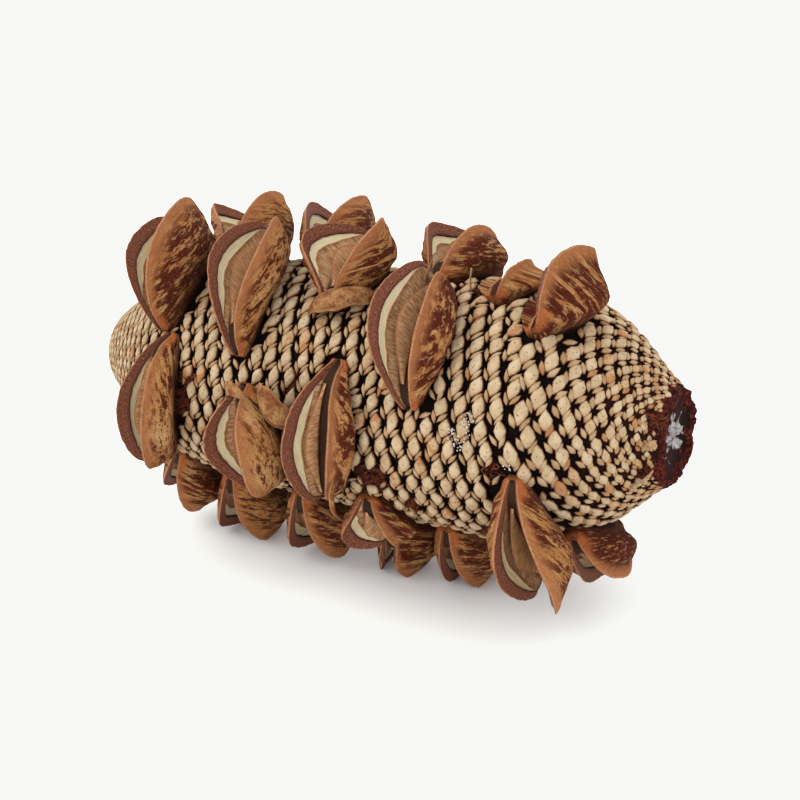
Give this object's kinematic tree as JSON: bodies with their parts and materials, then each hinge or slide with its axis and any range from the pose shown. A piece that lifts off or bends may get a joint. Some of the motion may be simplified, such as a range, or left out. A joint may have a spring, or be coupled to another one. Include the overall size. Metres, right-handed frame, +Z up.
{
  "type": "banksia cone",
  "caption": "Woody banksia seed cone lying on its side: a barrel core covered with diamond bract ends, with open two-valved follicles standing out all round it",
  "frame": {"origin": "middle of the bounding box in X and Y, on the floor plane that the cone rests on", "axes": "+X along the cone's axis from the rounded apex to the broken stalk, +Z up, -Y the side that faces the viewer in the picture"},
  "size_m": [0.1358, 0.0772, 0.0805],
  "materials": {
    "core": "matt cream bract ends on near-black felt",
    "follicle": "matt velvet, mottled red-brown and tan",
    "separator": "matt tan, finely striated"
  },
  "bodies": {
    "root": {"core": "core", "follicle_01": "follicle", "follicle_02": "follicle", "follicle_03": "follicle", "follicle_04": "follicle", "follicle_05": "follicle", "follicle_06": "follicle", "follicle_07": "follicle", "follicle_08": "follicle", "follicle_09": "follicle", "follicle_10": "follicle", "follicle_11": "follicle", "follicle_12": "follicle", "follicle_13": "follicle", "follicle_14": "follicle", "follicle_15": "follicle", "follicle_16": "follicle", "follicle_17": "follicle", "follicle_18": "follicle", "follicle_19": "follicle", "follicle_20": "follicle", "follicle_21": "follicle", "follicle_22": "follicle", "follicle_23": "follicle", "follicle_24": "follicle", "follicle_25": "follicle", "follicle_26": "follicle", "follicle_27": "follicle", "follicle_28": "follicle", "separator_01": "separator", "separator_02": "separator", "separator_03": "separator", "separator_04": "separator", "separator_06": "separator", "separator_07": "separator", "separator_08": "separator", "separator_09": "separator", "separator_10": "separator", "separator_11": "separator", "separator_12": "separator", "separator_14": "separator", "separator_15": "separator", "separator_16": "separator", "separator_17": "separator", "separator_18": "separator", "separator_19": "separator", "separator_20": "separator", "separator_21": "separator", "separator_22": "separator", "separator_23": "separator", "separator_24": "separator", "separator_25": "separator", "separator_26": "separator", "separator_27": "separator", "separator_28": "separator"}
  },
  "joints": []
}
